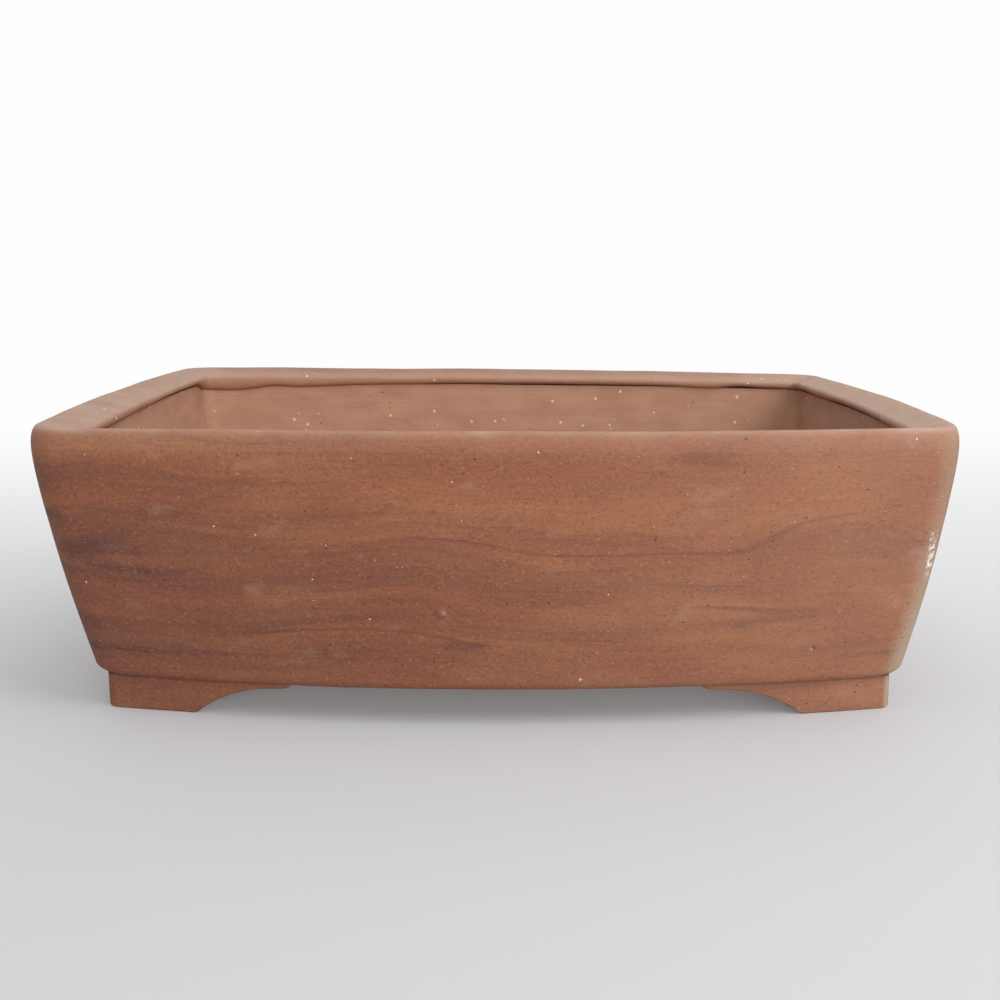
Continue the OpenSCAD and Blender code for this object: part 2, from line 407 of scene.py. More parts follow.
# %% [markdown]
# ## Seam coils
#
# A thin coil of soft clay was pressed into the seam between floor and wall and smoothed with a wet
# finger, which leaves a hollow curve.

# %% Seam coil skins
def coil_section():
    """(depth, level, corner radius) up the hollow curve, down the wall and out along the floor."""
    reach = WALL_THICKNESS + coil_size
    hollow = [(WALL_THICKNESS + coil_size * (1 - math.sin(a)), floor_top + coil_size * (1 - math.cos(a)))
              for a in arc(0, 90, 12)]
    back = [(WALL_THICKNESS, z) for z in np.linspace(floor_top + coil_size, floor_top, 5)[1:]]
    under = [(d, floor_top) for d in np.linspace(WALL_THICKNESS, reach, 5)[1:-1]]
    return [(d, z, INNER_CORNER_RADIUS) for d, z in hollow + back + under]

coils = {}
for side in SIDES:
    name = side + "_seam_coil"
    coils[name] = strip(side, name + "_skin", coil_section())
print("coils:", {name: len(piece.data.polygons) for name, piece in coils.items()})

# %% [markdown]
# ## Floor slab
#
# The floor was cut as one sheet, and its rounded lower edge shows under the walls. It has two drain
# holes, and four small ones for the wires that tie a tree in. Rings of the outline make the edge. The
# two flat faces are a net of points cut to the outline and the holes, so that they can carry a little
# unevenness, and each hole has a rim softened with a wet finger.

# %% Where the holes are
DRAIN_SPACING = 76 * MM
DRAIN_RADIUS = 7 * MM
WIRE_RADIUS = 2 * MM
WIRE_END_MARGIN = 14 * MM
WIRE_SIDE_MARGIN = 18 * MM

coil_edge = float(lean(floor_top)) + WALL_THICKNESS + coil_size
wire_x = half_length - coil_edge - WIRE_END_MARGIN
wire_y = half_width - coil_edge - WIRE_SIDE_MARGIN
holes = [(x * DRAIN_SPACING / 2, 0, DRAIN_RADIUS) for x in (-1, 1)]
holes += [(x * wire_x, y * wire_y, WIRE_RADIUS) for x in (-1, 1) for y in (-1, 1)]
print("holes, in mm:", [[round(size / MM, 1) for size in hole] for hole in holes])

# %% [markdown]
# ## Filling a flat face with holes in it
#
# A flat face with holes can't be one polygon that bends. A constrained Delaunay triangulation joins the
# outline, the rims and the loose points with well shaped triangles and keeps every border edge. It also
# fills the holes, so the triangles whose middle lies in a hole are left out.

# %% Rings, nets and triangles
HOLE_RIM = 0.7 * MM
HOLE_POINTS = 40
FLOOR_NET = 2.5 * MM
NET_CLEARANCE = 0.6 * FLOOR_NET
SAME_POINT = 1e-7

def outline(depth, z, radius):
    """The closed outline of the pot at one level, counter-clockwise from above."""
    rings = []
    for side in SIDES:
        along, turned = side_stations(side)
        rings.append(side_points(side, along, turned, depth, z, radius)[:-1])
    return np.concatenate(rings)

def circle(x, y, radius, z):
    """A level ring of points round a hole."""
    turns = np.arange(HOLE_POINTS) / HOLE_POINTS * math.tau
    return np.stack([x + radius * np.cos(turns), y + radius * np.sin(turns), np.full(HOLE_POINTS, z)], -1)

def inside_outline(points, ring):
    """Which points lie within a convex ring seen from above."""
    ahead = np.roll(ring, -1, 0) - ring
    offset = points[:, None, :2] - ring[None, :, :2]
    return (ahead[:, 0] * offset[..., 1] - ahead[:, 1] * offset[..., 0] > 0).all(1)

def in_a_hole(point):
    """Whether a point lies within a hole, or in the inner half of its rim."""
    return any(math.hypot(point[0] - x, point[1] - y) < radius + 0.5 * HOLE_RIM for x, y, radius in holes)

def face_net(ring, z):
    """Loose points that fill a flat face between its outline and its holes."""
    steps_x = np.arange(-half_length, half_length, FLOOR_NET)
    steps_y = np.arange(-half_width, half_width, FLOOR_NET)
    x, y = np.meshgrid(steps_x, steps_y)
    x[::2] += FLOOR_NET / 2
    net = np.stack([x.ravel(), y.ravel(), np.full(x.size, z)], -1)
    keep = inside_outline(net, ring * (1 - FLOOR_NET / half_width))
    for x, y, radius in holes:
        keep &= np.hypot(net[:, 0] - x, net[:, 1] - y) > radius + HOLE_RIM + NET_CLEARANCE
    return net[keep]

def flat_triangles(points, border_sizes):
    """Triangles that fill an outline but not its holes. points starts with the borders, in order."""
    edges = []
    start = 0
    for size in border_sizes:
        edges += [(start + k, start + (k + 1) % size) for k in range(size)]
        start += size
    found = geometry.delaunay_2d_cdt([Vector(p[:2]) for p in points], edges, [], 0, SAME_POINT)
    triangles, origins = found[2], found[3]
    kept = []
    for triangle in triangles:
        corners = [origins[i][0] for i in triangle]
        middle = points[corners].mean(0)
        if inside_outline(middle[None], points[:border_sizes[0]])[0] and not in_a_hole(middle):
            kept.append(corners)
    return kept

# %% [markdown]
# ## The slab itself
#
# The edge is built upwards ring by ring, each hole is built downwards, and the two flat faces close
# the skin between them.

# %% Floor slab skin
def edge_section():
    """(depth, level) up the slab's edge, round at the bottom."""
    rounded = [(BOTTOM_EDGE * (1 - math.sin(a)), foot_line + BOTTOM_EDGE * (1 - math.cos(a)))
               for a in arc(0, 90, 8)]
    return rounded + [(0, z) for z in np.linspace(foot_line + BOTTOM_EDGE, floor_top, 8)[1:]]

def bore_section(radius):
    """(radius, level) down a hole, with a soft rim at each end."""
    upper = [(radius + HOLE_RIM * (1 - math.sin(a)), floor_top - HOLE_RIM * (1 - math.cos(a)))
             for a in arc(0, 90, 4)]
    lower = [(radius + HOLE_RIM * (1 - math.cos(a)), foot_line + HOLE_RIM * (1 - math.sin(a)))
             for a in arc(0, 90, 4)]
    return upper + lower

def joined(rings):
    """Quads between rings of point numbers, from each ring to the next."""
    quads = []
    for here, there in zip(rings, rings[1:]):
        quads += np.stack([here, np.roll(here, -1), np.roll(there, -1), there], -1).tolist()
    return quads

def floor_slab_skin():
    """The slab's rounded edge, the walls of its holes and the two flat faces between them."""
    points = []

    def add(ring):
        """Keeps a ring of points and returns their numbers."""
        first = sum(len(kept) for kept in points)
        points.append(ring)
        return np.arange(first, first + len(ring))

    rings = [add(outline(depth, z, CORNER_RADIUS)) for depth, z in edge_section()]
    faces = joined(rings)
    tops = []
    bottoms = []
    for x, y, radius in holes:
        loops = [add(circle(x, y, r, z)) for r, z in bore_section(radius)]
        faces += joined(loops)
        tops.append(loops[0])
        bottoms.append(loops[-1])
    for ring, rims, z, turn in ((rings[-1], tops, floor_top, 1), (rings[0], bottoms, foot_line, -1)):
        net = add(face_net(np.concatenate(points)[ring], z))
        used = np.concatenate([ring, *rims, net])
        flat = np.concatenate(points)[used]
        for corners in flat_triangles(flat, [len(ring)] + [len(rim) for rim in rims]):
            faces.append(used[corners].tolist()[::turn])
    return new_piece("floor_slab_skin", worked_by_hand(np.concatenate(points), 0.0), faces)

floor_slab = floor_slab_skin()
print("floor slab:", len(floor_slab.data.polygons), "faces")

# %% [markdown]
# ## Feet
#
# Each foot is a bracket that follows the pot round its corner. It stands flat under the corner, and
# each leg then rises in an arch, round the heel and up a long hollow sweep, to a thin tip under the
# floor. It is swept round the corner like the walls, but its underside changes from station to
# station, and the lower edges are rubbed round.

# %% The arch under a leg
FLAT_LONG = 18 * MM
FLAT_END = 13 * MM
TIP = 1.4 * MM
TIP_RUN = 4.2 * MM
ARCH_SLOPE = math.radians(38)
HEEL_RADIUS = 1.2 * MM

arch_rise = foot_line - TIP
sweep_radius = arch_rise / (1 - math.cos(ARCH_SLOPE)) - HEEL_RADIUS
arch_run = (HEEL_RADIUS + sweep_radius) * math.sin(ARCH_SLOPE)
heel_run = HEEL_RADIUS * math.sin(ARCH_SLOPE)

def underside(past_flat):
    """Height of the underside at a distance past the flat stretch under the corner."""
    u = np.clip(past_flat, 0, arch_run)
    heel = HEEL_RADIUS - np.sqrt(np.clip(HEEL_RADIUS ** 2 - u ** 2, 0, None))
    sweep = arch_rise - sweep_radius + np.sqrt(sweep_radius ** 2 - (arch_run - u) ** 2)
    return np.where(u < heel_run, heel, sweep)

print("arch:", round(arch_run / MM, 2), "mm long and", round(arch_rise / MM, 2), "mm high")

# %% [markdown]
# ## Legs and feet
#
# A leg's stations have to fall at the same place along its outer and its inner face, so each face is
# asked where a station lies. Near the tip the section shrinks in a quarter round, as it does where a
# thumb smoothed it into the floor.

# %% Foot skins
RUBBED_EDGE = 0.5 * MM
RUBBED_SHARE = 0.45
TIP_ROUND = 3.6 * MM
TIP_NARROWING = 0.5 * TIP_ROUND
TIP_LIFT = 0.7 * TIP
TIP_STEPS = 5
CORNER_STEPS = 13
TURN_STEPS = 6
LOOKUP = 400

def leg_side(side, corner_end, depth, steps):
    """Points along one face of a leg, at the given distances from the middle, then round to the mitre."""
    table = np.linspace(0, 1, LOOKUP)
    line = side_points(side, table * corner_end, np.zeros(LOOKUP), depth, foot_line, FOOT_CORNER_RADIUS)
    shares = np.interp(steps, np.abs(line[:, SIDES.index(side) % 2]), table)
    to_corner = np.linspace(shares[-1], 1, CORNER_STEPS + 1)[1:]
    along = np.concatenate([shares, to_corner, np.ones(TURN_STEPS)]) * corner_end
    turned = np.concatenate([np.zeros(len(shares) + CORNER_STEPS), np.linspace(0, 1, TURN_STEPS + 1)[1:]])
    return side_points(side, along, turned, depth, foot_line, FOOT_CORNER_RADIUS)[:, :2]

def leg_stations(side, corner_end, flat):
    """Rows of (outer x, outer y, inner x, inner y, underside, rounding) from a leg's tip to the mitre."""
    half = half_length if side in ("front", "back") else half_width
    corner = half - float(lean(foot_line)) - FOOT_INSET
    tip_end = corner - flat - arch_run - TIP_RUN
    steps = np.linspace(tip_end, corner - flat, round((corner - flat - tip_end) / FINE) + 1)
    steps = np.concatenate([tip_end + TIP_ROUND * (1 - np.cos(arc(0, 90, TIP_STEPS)[:-1])),
                            steps[steps > tip_end + TIP_ROUND]])
    outer = leg_side(side, corner_end, FOOT_INSET, steps)
    inner = leg_side(side, corner_end, FOOT_INSET + FOOT_THICKNESS, steps)
    level = np.zeros(CORNER_STEPS + TURN_STEPS)
    height = np.concatenate([underside(corner - flat - steps), level])
    short = np.clip((TIP_ROUND - (steps - tip_end)) / TIP_ROUND, 0, 1)
    rounding = np.concatenate([1 - np.sqrt(1 - short ** 2), level])
    return np.concatenate([outer, inner, height[:, None], rounding[:, None]], axis=1)

def foot_section(across, height, rounding):
    """(depth, level) down the outside, under and up the inside of a leg, with rubbed lower edges."""
    near = TIP_NARROWING * rounding
    far = across - near
    low = height + TIP_LIFT * rounding
    edge = min(RUBBED_EDGE, RUBBED_SHARE * (foot_line - low))
    quarter = arc(0, 90, 5)[1:]
    section = [(near, z) for z in np.linspace(foot_line, low + edge, 9)]
    section += [(near + edge * (1 - math.cos(a)), low + edge * (1 - math.sin(a))) for a in quarter]
    section += [(d, low) for d in np.linspace(near + edge, far - edge, 9)[1:]]
    section += [(far - edge * (1 - math.sin(a)), low + edge * (1 - math.cos(a))) for a in quarter]
    section += [(far, z) for z in np.linspace(low + edge, foot_line, 9)[1:]]
    section += [(d, foot_line) for d in np.linspace(far, near, 7)[1:-1]]
    return section

def foot_skin(name, long_side, long_end, end_side, end_end):
    """A foot swept from the tip of its long leg, round the corner, to the tip of its end leg."""
    long_leg = leg_stations(long_side, long_end, FLAT_LONG)
    end_leg = leg_stations(end_side, end_end, FLAT_END)
    grid = []
    for row in np.concatenate([long_leg, end_leg[-2::-1]]):
        outer, inner, (height, rounding) = row[:2], row[2:4], row[4:]
        across = float(np.linalg.norm(inner - outer))
        section = foot_section(across, height, rounding)
        grid.append([[*(outer + (inner - outer) * d / across), z] for d, z in section])
    return swept(name, worked_by_hand(np.array(grid), 0.0))

feet = {
    "front_right_foot": foot_skin("front_right_foot_skin", "front", 1, "right", -1),
    "back_right_foot": foot_skin("back_right_foot_skin", "back", -1, "right", 1),
    "back_left_foot": foot_skin("back_left_foot_skin", "back", 1, "left", -1),
    "front_left_foot": foot_skin("front_left_foot_skin", "front", -1, "left", 1),
}
print("feet:", {name: len(piece.data.polygons) for name, piece in feet.items()})

# %% [markdown]
# ## Shader maths
#
# A stoneware surface is many patterns laid over each other, and each is a sum on where the point is.
# This small class wraps a socket, so that the sums read as sums.

# %% A socket that can be reckoned with
class Value:
    """A node socket, or a number, inside one material."""

    def __init__(self, tree, socket):
        self.tree, self.socket = tree, socket

    def maths(self, operation, *others):
        """This value and others through one maths node."""
        return node(self.tree, "ShaderNodeMath", {"operation": operation}, [self, *others])["Value"]

    def __add__(self, other):
        return self.maths("ADD", other)

    def __radd__(self, other):
        return self.maths("ADD", other)

    def __sub__(self, other):
        return self.maths("SUBTRACT", other)

    def __rsub__(self, other):
        return node(self.tree, "ShaderNodeMath", {"operation": "SUBTRACT"}, [other, self])["Value"]

    def __mul__(self, other):
        return self.maths("MULTIPLY", other)

    def __rmul__(self, other):
        return self.maths("MULTIPLY", other)

    def __truediv__(self, other):
        return self.maths("DIVIDE", other)

def node(tree, kind, settings=None, inputs=None):
    """Adds any node. inputs is a list, or a dict by socket name, of numbers, colours or Values."""
    made = tree.nodes.new(kind)
    for name, value in (settings or {}).items():
        setattr(made, name, value)
    pairs = inputs.items() if isinstance(inputs, dict) else enumerate(inputs or [])
    for name, value in pairs:
        if isinstance(value, Value):
            tree.links.new(value.socket, made.inputs[name])
        else:
            made.inputs[name].default_value = value
    return {socket.name: Value(tree, socket) for socket in made.outputs if socket.enabled}

# %% [markdown]
# ## Marbled stoneware
#
# The clay is two clays wedged together, an orange-brown one and a purple-brown one, and rolled out
# into slabs. Rolling pulls the darker one into long level bands and thin veins. A noise that is
# squeezed in height makes the bands, and a second, slower noise lifts and drops them so that they
# wander and fork. All of it hangs on where the point is in space, so it runs on round the corners.

# %% Places, clouds and ramps
NOISE_OUTPUT = "Fac"

def position_mm(tree):
    """Where the surface is, in millimetres."""
    inputs = {"Vector": node(tree, "ShaderNodeTexCoord")["Object"], "Scale": 1 / MM}
    return node(tree, "ShaderNodeVectorMath", {"operation": "SCALE"}, inputs)["Vector"]

def along_length(tree, place):
    """How far right of the middle a place is."""
    return node(tree, "ShaderNodeSeparateXYZ", {}, [place])["X"]

def height_of(tree, place):
    """How high a place is."""
    return node(tree, "ShaderNodeSeparateXYZ", {}, [place])["Z"]

def facing(tree):
    """The way the surface faces, as X, Y and Z shares."""
    normal = node(tree, "ShaderNodeNewGeometry")["Normal"]
    return node(tree, "ShaderNodeSeparateXYZ", {}, [normal])

def scaled(tree, vector, sizes):
    """Divides a place by a size along each axis."""
    shares = tuple(1 / size for size in sizes)
    return node(tree, "ShaderNodeVectorMath", {"operation": "MULTIPLY"}, [vector, shares])["Vector"]

def cloud(tree, vector, sizes, detail=2.0, roughness=0.5):
    """Soft noise from 0 to 1 with features about as large as sizes, in millimetres."""
    inputs = {"Vector": scaled(tree, vector, sizes), "Scale": 1.0, "Detail": detail, "Roughness": roughness}
    return node(tree, "ShaderNodeTexNoise", {}, inputs)[NOISE_OUTPUT]

def ramp(tree, value, low, high):
    """0 below low, 1 above high, and smooth between. low may be the larger."""
    inputs = {"Value": value, "From Min": low, "From Max": high, "To Min": 0.0, "To Max": 1.0}
    return node(tree, "ShaderNodeMapRange", {"interpolation_type": "SMOOTHSTEP"}, inputs)["Result"]

def mixed(tree, share, first, second):
    """A colour that goes from first to second."""
    made = tree.nodes.new("ShaderNodeMix")
    made.data_type = "RGBA"
    for index, value in ((0, share), (6, first), (7, second)):
        if isinstance(value, Value):
            tree.links.new(value.socket, made.inputs[index])
        else:
            made.inputs[index].default_value = (*value, 1) if index else value
    return Value(tree, made.outputs[2])

# %% [markdown]
# ## The two clays
#
# The marbling is reckoned once, as how much of the dark clay shows at a place. Bands are broad, wisps
# are thin and short, and veins follow the line where a noise crosses its middle value, which is what
# makes them long and forked. The lower left of the pot is also darker, partly the clay's own tone and
# partly painted shade where less light falls.

# %% Clays and marbling
ORANGE_CLAY = (0.232, 0.076, 0.034)
OCHRE_CLAY = (0.280, 0.104, 0.043)
DARK_CLAY_AND_SHADE = (0.100, 0.034, 0.024)
SAND = (0.42, 0.20, 0.10)
UMBER = (0.065, 0.026, 0.018)
DRIFT = 16.0
RIPPLE_SHARE = 0.16

def flowing(tree, place, drift):
    """The place with its height lifted and dropped by a slow noise, as rolling folded the clay."""
    swell = (cloud(tree, place, (64, 64, 30), 1.0) - 0.5) * drift
    ripple = (cloud(tree, place, (24, 24, 12), 1.0) - 0.5) * (RIPPLE_SHARE * drift)
    lift = node(tree, "ShaderNodeCombineXYZ", {}, {"Z": swell + ripple})["Vector"]
    return node(tree, "ShaderNodeVectorMath", {"operation": "ADD"}, [place, lift])["Vector"]

def marbling_and_shade(tree, place):
    """How much of the dark clay shows, from 0 to 1, with a darkening to the lower left that is partly
    painted shade.
    """
    flow = flowing(tree, place, DRIFT)
    bands = ramp(tree, cloud(tree, flow, (120, 120, 6.0), 2.5, 0.5), 0.44, 0.66)
    wisps = ramp(tree, cloud(tree, flow, (46, 46, 1.5), 2.5, 0.6), 0.42, 0.72)
    coming = ramp(tree, cloud(tree, flow, (52, 52, 11), 1.0), 0.44, 0.60)
    ridge = (cloud(tree, flow, (105, 105, 8.0), 0.6) - 0.5).maths("ABSOLUTE")
    veins = ramp(tree, ridge, 0.030, 0.002) * coming
    # left, low and right darken the lower left: partly the clay's own darker tone, partly painted shade
    # where less light reaches, mixed in as dark clay.
    left = ramp(tree, along_length(tree, place), 45.0, -80.0)
    low = ramp(tree, height_of(tree, place), 36.0, 8.0)
    right = ramp(tree, along_length(tree, place), 0.0, 80.0)
    shade = left * 0.22 + low * (0.34 - 0.34 * right)
    dark = bands * (0.24 + 0.16 * left) + wisps * 0.16 + veins * 0.45 + shade
    return dark.maths("MINIMUM", 1.0)

# %% [markdown]
# ## Grog, pits and grain
#
# Ground fired clay, called grog, was wedged in to keep the slabs from warping. It shows as cream
# grains, and where a grain was dragged out it left a dark pit. Each is a field of cells of which only
# some hold a grain, which is what a Voronoi texture with a random colour for each cell gives.

# %% Specks
CREAM = (0.78, 0.62, 0.44)
PIT_AND_SEAM_SHADE = (0.03, 0.018, 0.015)

def specks(tree, place, cell, radius, share, stretch=1.0):
    """Round specks up to radius across, in a share of the cells. Returns a mask."""
    inputs = {"Vector": scaled(tree, place, (cell * stretch, cell * stretch, cell)), "Scale": 1.0}
    cells = node(tree, "ShaderNodeTexVoronoi", {}, inputs)
    chance = node(tree, "ShaderNodeSeparateColor", {}, [cells["Color"]])
    size = chance["Green"] * 0.6 + 0.4
    near = ramp(tree, cells["Distance"] / size, radius / cell, 0.6 * radius / cell)
    return near * (chance["Red"].maths("LESS_THAN", share))

def with_grog(tree, place, colour, inside, specs):
    """The colour with its specks, and masks of the cream grains and the pits."""
    grog = specks(tree, place, 2.6, 0.26, specs["grog"])
    fine_grog = specks(tree, place, 1.0, 0.15, 0.10)
    coarse_grog = specks(tree, place, 3.2, 0.55, inside * 0.5 + specs["coarse_grog"])
    pits = specks(tree, place, 1.5, 0.21, 0.34, 1.3)
    grains = grog.maths("MAXIMUM", coarse_grog)
    colour = mixed(tree, pits * 0.65, colour, PIT_AND_SEAM_SHADE)
    colour = mixed(tree, fine_grog * 0.50, colour, CREAM)
    colour = mixed(tree, grains * 0.7, colour, CREAM)
    return colour, grains, pits

# %% [markdown]
# ## Clay before the kiln marks it
#
# Under the specks, the clay itself is not even. It changes slowly from orange to ochre, and its grain
# is a mottle of sandy and umber spots well under a millimetre across.

# %% Body and grain
def clay_body(tree, place, marbled):
    """The colour of the wedged clay, darkened to the lower left partly as painted shade, and its grain."""
    tone = cloud(tree, place, (30, 30, 10), 3.0)
    colour = mixed(tree, ramp(tree, tone, 0.35, 0.70), ORANGE_CLAY, OCHRE_CLAY)
    colour = mixed(tree, marbling_and_shade(tree, place) * marbled, colour, DARK_CLAY_AND_SHADE)
    mottle = cloud(tree, place, (1.5, 1.5, 0.8), 3.0, 0.7)
    colour = mixed(tree, ramp(tree, mottle, 0.50, 0.80) * 0.28, colour, OCHRE_CLAY)
    colour = mixed(tree, ramp(tree, mottle, 0.48, 0.22) * 0.30, colour, DARK_CLAY_AND_SHADE)
    grain = cloud(tree, place, (0.75, 0.75, 0.55), 4.0, 0.8)
    colour = mixed(tree, ramp(tree, grain, 0.53, 0.70) * 0.40, colour, SAND)
    colour = mixed(tree, ramp(tree, grain, 0.46, 0.30) * 0.75, colour, UMBER)
    return colour, grain

# %% [markdown]
# ## What firing and use left on it, with painted sheen and highlight
#
# A pale bloom lies in smudges and inside the pot, where salts dried out. On faces turned up, most of all at
# the ends, near the top of the walls and towards the right end it is partly a pale film and partly painted
# sheen and light. Buff on the right corners, most of all low down, is painted highlight where the rounding
# catches the light, with a little wear, and hard water left a few flecks of lime on the front one. Each is
# a colour laid on by a share that depends on the place, or on which way the surface faces.

# %% Bloom, painted sheen, painted highlight and lime
BLOOM_AND_SHEEN = (0.41, 0.270, 0.200)
INSIDE_BLOOM = (0.44, 0.235, 0.15)
BUFF_HIGHLIGHT = (0.33, 0.25, 0.175)
LIME = (0.72, 0.68, 0.60)
LIME_MARK = (82.4, 32.5)

def with_bloom_and_sheen(tree, place, colour, inside, specs):
    """The colour under a pale bloom, thickest on top, at the ends and inside; on top, near the rim and to
    the right it is partly painted sheen and light.
    """
    # rim, upper and right make the colour paler near the top, on faces turned up and to the right: partly a
    # pale film, partly painted sheen and light.
    rim = ramp(tree, height_of(tree, place), 51.0, 56.0)
    facing_up = ramp(tree, facing(tree)["Z"], 0.15, 0.85)
    ends = ramp(tree, along_length(tree, place).maths("ABSOLUTE"), 62.0, 84.0)
    right = ramp(tree, along_length(tree, place), -20.0, 90.0)
    smudges = ramp(tree, cloud(tree, place, (11, 11, 6), 2.0, 0.6), 0.58, 0.82)
    patchy = 0.55 + 0.9 * cloud(tree, place, (9, 9, 4), 3.0)
    upper = facing_up * (0.55 + 0.45 * ends) * specs["bloom_and_sheen"]
    bloom_and_sheen = (rim * 0.10 + upper + right * 0.14 + smudges * 0.2 + specs["dust"]) * patchy
    colour = mixed(tree, inside * specs["inside"] * patchy, colour, INSIDE_BLOOM)
    return mixed(tree, bloom_and_sheen.maths("MINIMUM", 1.0), colour, BLOOM_AND_SHEEN)

def with_corner_marks(tree, place, colour, inside):
    """The colour with a buff painted highlight on the right corners, with a little wear, and flecks of lime
    on the front one.
    """
    chips = cloud(tree, place, (2.2, 2.2, 1.6), 3.0, 0.7)
    low = ramp(tree, height_of(tree, place), 46.0, 12.0)
    # Buff where the surface turns to the right, most on the corners and low down: painted highlight where
    # the corners catch the light, with a little wear.
    corner = ramp(tree, facing(tree)["X"] + (chips - 0.5) * 0.25, 0.22, 0.75)
    end_share = 0.2 + 0.8 * ramp(tree, facing(tree)["X"], 0.94, 0.78)
    highlight_and_wear = corner * end_share * (0.4 + 0.5 * low) * (1 - inside)
    colour = mixed(tree, highlight_and_wear, colour, BUFF_HIGHLIGHT)
    near_along = ramp(tree, (along_length(tree, place) - LIME_MARK[0]).maths("ABSOLUTE"), 1.3, 0.3)
    near_up = ramp(tree, (height_of(tree, place) - LIME_MARK[1]).maths("ABSOLUTE"), 6.0, 2.5)
    front = ramp(tree, facing(tree)["Y"], 0.0, -0.2)
    flecks = ramp(tree, cloud(tree, place, (1.6, 1.6, 1.1), 4.0, 0.75), 0.47, 0.56)
    return mixed(tree, near_along * near_up * front * flecks * 0.9, colour, LIME)

# %% [markdown]
# ## One finish for each kind of piece
#
# Every piece has the same clay, so one function makes all the finishes and a short table says how much
# of each mark a kind of piece shows. The walls show most marbling, the lips most bloom and painted sheen,
# and the feet have a thin band of painted shade just under the floor slab. Relief comes from the grain,
# from the level lines that a wet sponge leaves, and from the grains and pits.

# %% Finishes
# The band of painted shade on the feet, just under the floor slab, in millimetres.
SEAM_SHADE_LINE = (foot_line / MM - 0.7, foot_line / MM - 0.1)
RELIEF_DEPTH = 0.26 * MM
GLOSS = 0.35

SPECS = ("marbling_and_shade", "bloom_and_sheen", "dust", "inside", "grog", "coarse_grog", "seam_shade")
FINISHES = {
    "wall_clay": (1.0, 0.3, 0.0, 0.9, 0.10, 0.02, 0.0),
    "lip_clay": (0.6, 0.7, 0.02, 0.5, 0.16, 0.04, 0.0),
    "floor_clay": (0.8, 0.2, 0.0, 0.2, 0.12, 0.05, 0.0),
    "coil_clay": (0.8, 0.1, 0.0, 0.2, 0.12, 0.04, 0.0),
    "foot_clay": (0.7, 0.2, 0.0, 0.0, 0.14, 0.03, 0.55),
}

def stoneware(name, specs):
    """One finish of the clay. specs says how much of each mark it has."""
    material = bpy.data.materials.new(name)
    material.use_nodes = True
    tree = material.node_tree
    shader = tree.nodes["Principled BSDF"]
    place = position_mm(tree)
    depth = node(tree, "ShaderNodeAttribute", {"attribute_name": "inside"})["Fac"]
    inside = ramp(tree, depth, 0.6, 0.95)

    colour, grain = clay_body(tree, place, specs["marbling_and_shade"])
    colour = with_bloom_and_sheen(tree, place, colour, inside, specs)
    colour = with_corner_marks(tree, place, colour, inside)
    # A thin dark band on the feet just under the floor slab: painted shade where the foot meets the slab,
    # in the pits' colour.
    seam_shade = ramp(tree, height_of(tree, place), *SEAM_SHADE_LINE) * specs["seam_shade"]
    colour = mixed(tree, seam_shade, colour, PIT_AND_SEAM_SHADE)
    colour, grains, pits = with_grog(tree, place, colour, inside, specs)

    wiped = cloud(tree, place, (14, 14, 0.55), 2.0, 0.6)
    relief = grain * 0.55 + wiped * 0.35 + grains * 0.25 - pits * 0.9
    inputs = {"Strength": 1.0, "Distance": RELIEF_DEPTH, "Height": relief}
    bump = node(tree, "ShaderNodeBump", {}, inputs)["Normal"]
    rough = 0.62 + 0.2 * grain
    tree.links.new(colour.socket, shader.inputs["Base Color"])
    tree.links.new(bump.socket, shader.inputs["Normal"])
    tree.links.new(rough.socket, shader.inputs["Roughness"])
    shader.inputs["Specular IOR Level"].default_value = GLOSS
    return material

finishes = {slot: stoneware(slot, dict(zip(SPECS, amounts))) for slot, amounts in FINISHES.items()}
print("finishes:", {slot: len(made.node_tree.nodes) for slot, made in finishes.items()}, "nodes")

# %% [markdown]
# ## Seating the skins
#
# Each skin gets its finish, rides on the pot's one body and takes the place of the plain solid that it
# covers.

# %% Skins in place
def settle(piece, finish, node_name):
    """Gives a skin its finish and its place in the frame."""
    piece.data.materials.append(finishes[finish])
    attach(piece, "root")
    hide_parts(node_name)

for group, finish in ((walls, "wall_clay"), (lips, "lip_clay"), (coils, "coil_clay"), (feet, "foot_clay")):
    for name, piece in group.items():
        settle(piece, finish, name)
settle(floor_slab, "floor_clay", "floor_slab")
print("seated:", len(walls) + len(lips) + len(coils) + len(feet) + 1, "skins")

# %% [markdown]
# ## Paper stage
#
# The pot stands on pale grey paper that sweeps up behind it, so there is no edge where floor meets
# wall. The paper fades to a plain white with distance, as it does when the wall behind is lit on its
# own. A swept sheet with one material that mixes paper and a weak glow by depth does both jobs.

# %% Floor and backdrop
PAPER_GREY = (0.56, 0.56, 0.58, 1)
GLOW = 0.985
FADE = (-170.0, 400.0)
STAGE_HALF = 2.5
STAGE_FRONT = -2.0
BEND_AT = 0.9
BEND_RADIUS = 0.8
STAGE_TOP = 2.6

def stage_material():
    """Pale grey paper with a painted glow that rises from a little in front of the pot to white behind it.
    """
    material = bpy.data.materials.new("stage_paper")
    material.use_nodes = True
    tree = material.node_tree
    matt = tree.nodes["Principled BSDF"]
    matt.inputs["Base Color"].default_value = PAPER_GREY
    matt.inputs["Roughness"].default_value = 0.9
    matt.inputs["Specular IOR Level"].default_value = 0.1
    depth = node(tree, "ShaderNodeSeparateXYZ", {}, [position_mm(tree)])["Y"]
    white = node(tree, "ShaderNodeEmission", {}, {"Color": (1, 1, 1, 1), "Strength": GLOW})["Emission"]
    # The glow already starts in front of the pot, so it also lightens the floor and the shade under the
    # pot: painted light.
    layers = [ramp(tree, depth, *FADE), Value(tree, matt.outputs[0]), white]
    faded = node(tree, "ShaderNodeMixShader", {}, layers)["Shader"]
    tree.links.new(faded.socket, tree.nodes["Material Output"].inputs["Surface"])
    return material

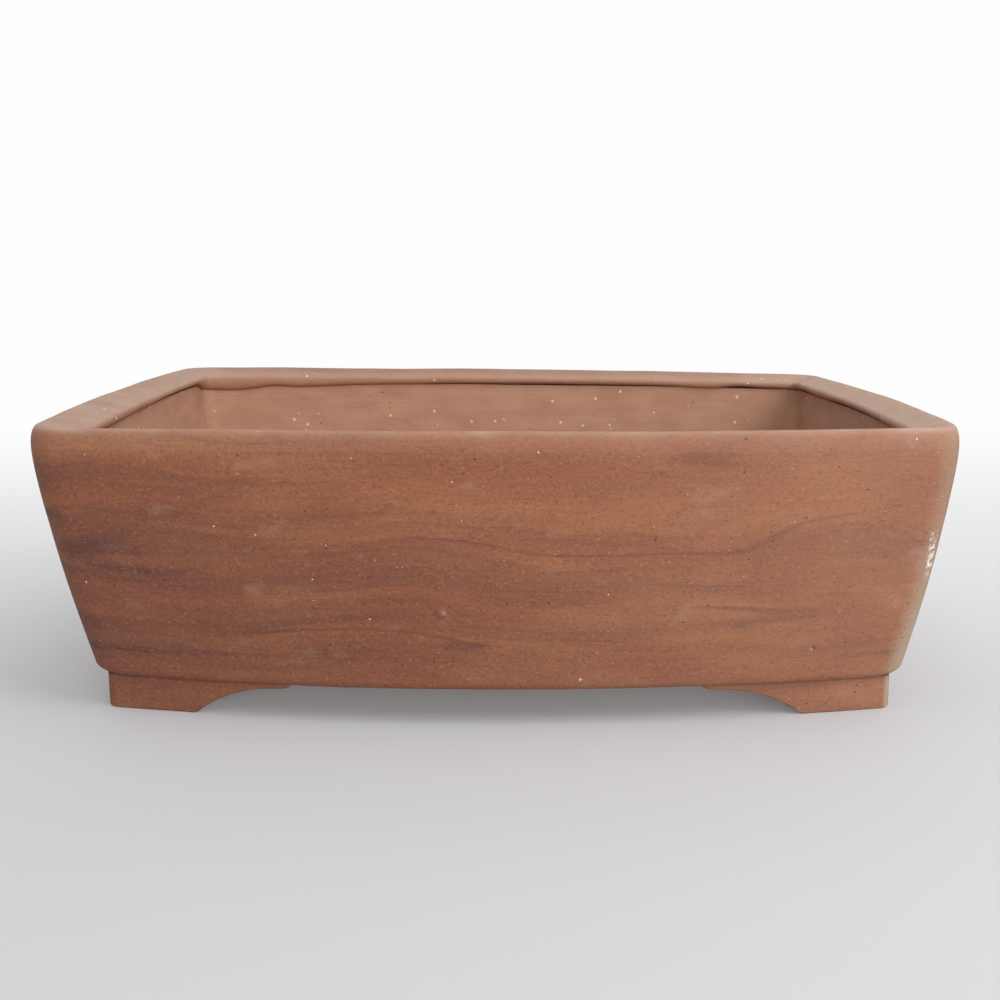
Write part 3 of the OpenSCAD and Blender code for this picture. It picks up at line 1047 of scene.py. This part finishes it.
profile = [(STAGE_FRONT, 0.0), (BEND_AT, 0.0)]
profile += [(BEND_AT + BEND_RADIUS * math.sin(a), BEND_RADIUS * (1 - math.cos(a)))
            for a in arc(0, 90, 24)[1:]]
profile += [(BEND_AT + BEND_RADIUS, STAGE_TOP)]
rows = np.array([[(x, y, z) for y, z in profile] for x in (-STAGE_HALF, STAGE_HALF)])
columns = len(profile)
paper = new_piece("stage_paper", rows.reshape(-1, 3),
                  [(i, i + 1, columns + i + 1, columns + i) for i in range(columns - 1)])
paper.data.materials.append(stage_material())
print("stage:", len(paper.data.polygons), "faces")

# %% [markdown]
# ## Light
#
# A large soft box in front, a little to the right, gives most of the modelling. A small one nearer the
# right end brightens that end and the lip, and a weak one overhead lifts the tops. An even white room
# fills the rest, and keeps the shadow under the pot pale. Colours are shown without a film curve.

# %% Lamps and room
ROOM_STRENGTH = 0.62
UP_THE_WALL = (0, 0, 0.03)

def softbox(name, place, aim, size, watts):
    """A white rectangular lamp at a place, turned to face aim."""
    lamp = bpy.data.lights.new(name, "AREA")
    lamp.shape = "RECTANGLE"
    lamp.size, lamp.size_y = size
    lamp.energy = watts
    holder = bpy.data.objects.new(name, lamp)
    holder.location = place
    holder.rotation_euler = (Vector(aim) - Vector(place)).to_track_quat("-Z", "Y").to_euler()
    bpy.context.scene.collection.objects.link(holder)

softbox("window_softbox", (0.40, -0.30, 0.42), UP_THE_WALL, (0.40, 0.40), 1.9)
softbox("front_softbox", (0.35, -1.3, 0.30), UP_THE_WALL, (1.2, 0.6), 11)
softbox("overhead_softbox", (0.0, -0.1, 1.2), (0, 0, 0), (1.0, 0.8), 2)

world = bpy.data.worlds.new("room")
bpy.context.scene.world = world
world.use_nodes = True
room = world.node_tree.nodes["Background"]
room.inputs["Color"].default_value = (1, 1, 1, 1)
room.inputs["Strength"].default_value = ROOM_STRENGTH
bpy.context.scene.view_settings.view_transform = "Standard"
print("lamps:", {lamp.name: round(lamp.energy, 1) for lamp in bpy.data.lights}, "W")

# %% [markdown]
# ## Camera
#
# The camera looks at the front from a little above the rim, close enough for the far lip to look
# shorter than the near one. It is square to the pot but for a small turn and a slight roll, as a camera
# on a stand usually is.

# %% Camera
CAMERA_PLACE = Vector((3.6, -298.12, 87.42)) * MM
CAMERA_PITCH = math.radians(10.531)
CAMERA_YAW = math.radians(0.640)
CAMERA_ROLL = math.radians(0.118)
SENSOR_WIDTH = 36
LENS_SHARE = 1.29428
NEAREST = 0.01

camera = bpy.data.cameras.new("camera")
camera.sensor_width = SENSOR_WIDTH
camera.lens = SENSOR_WIDTH * LENS_SHARE
camera.clip_start = NEAREST
viewer = bpy.data.objects.new("camera", camera)
viewer.location = CAMERA_PLACE
looking = Matrix.Rotation(CAMERA_YAW, 4, "Z") @ Matrix.Rotation(math.pi / 2 - CAMERA_PITCH, 4, "X")
viewer.rotation_euler = (looking @ Matrix.Rotation(-CAMERA_ROLL, 4, "Z")).to_euler()
bpy.context.scene.collection.objects.link(viewer)
bpy.context.scene.camera = viewer
print("lens:", round(camera.lens, 1), "mm")
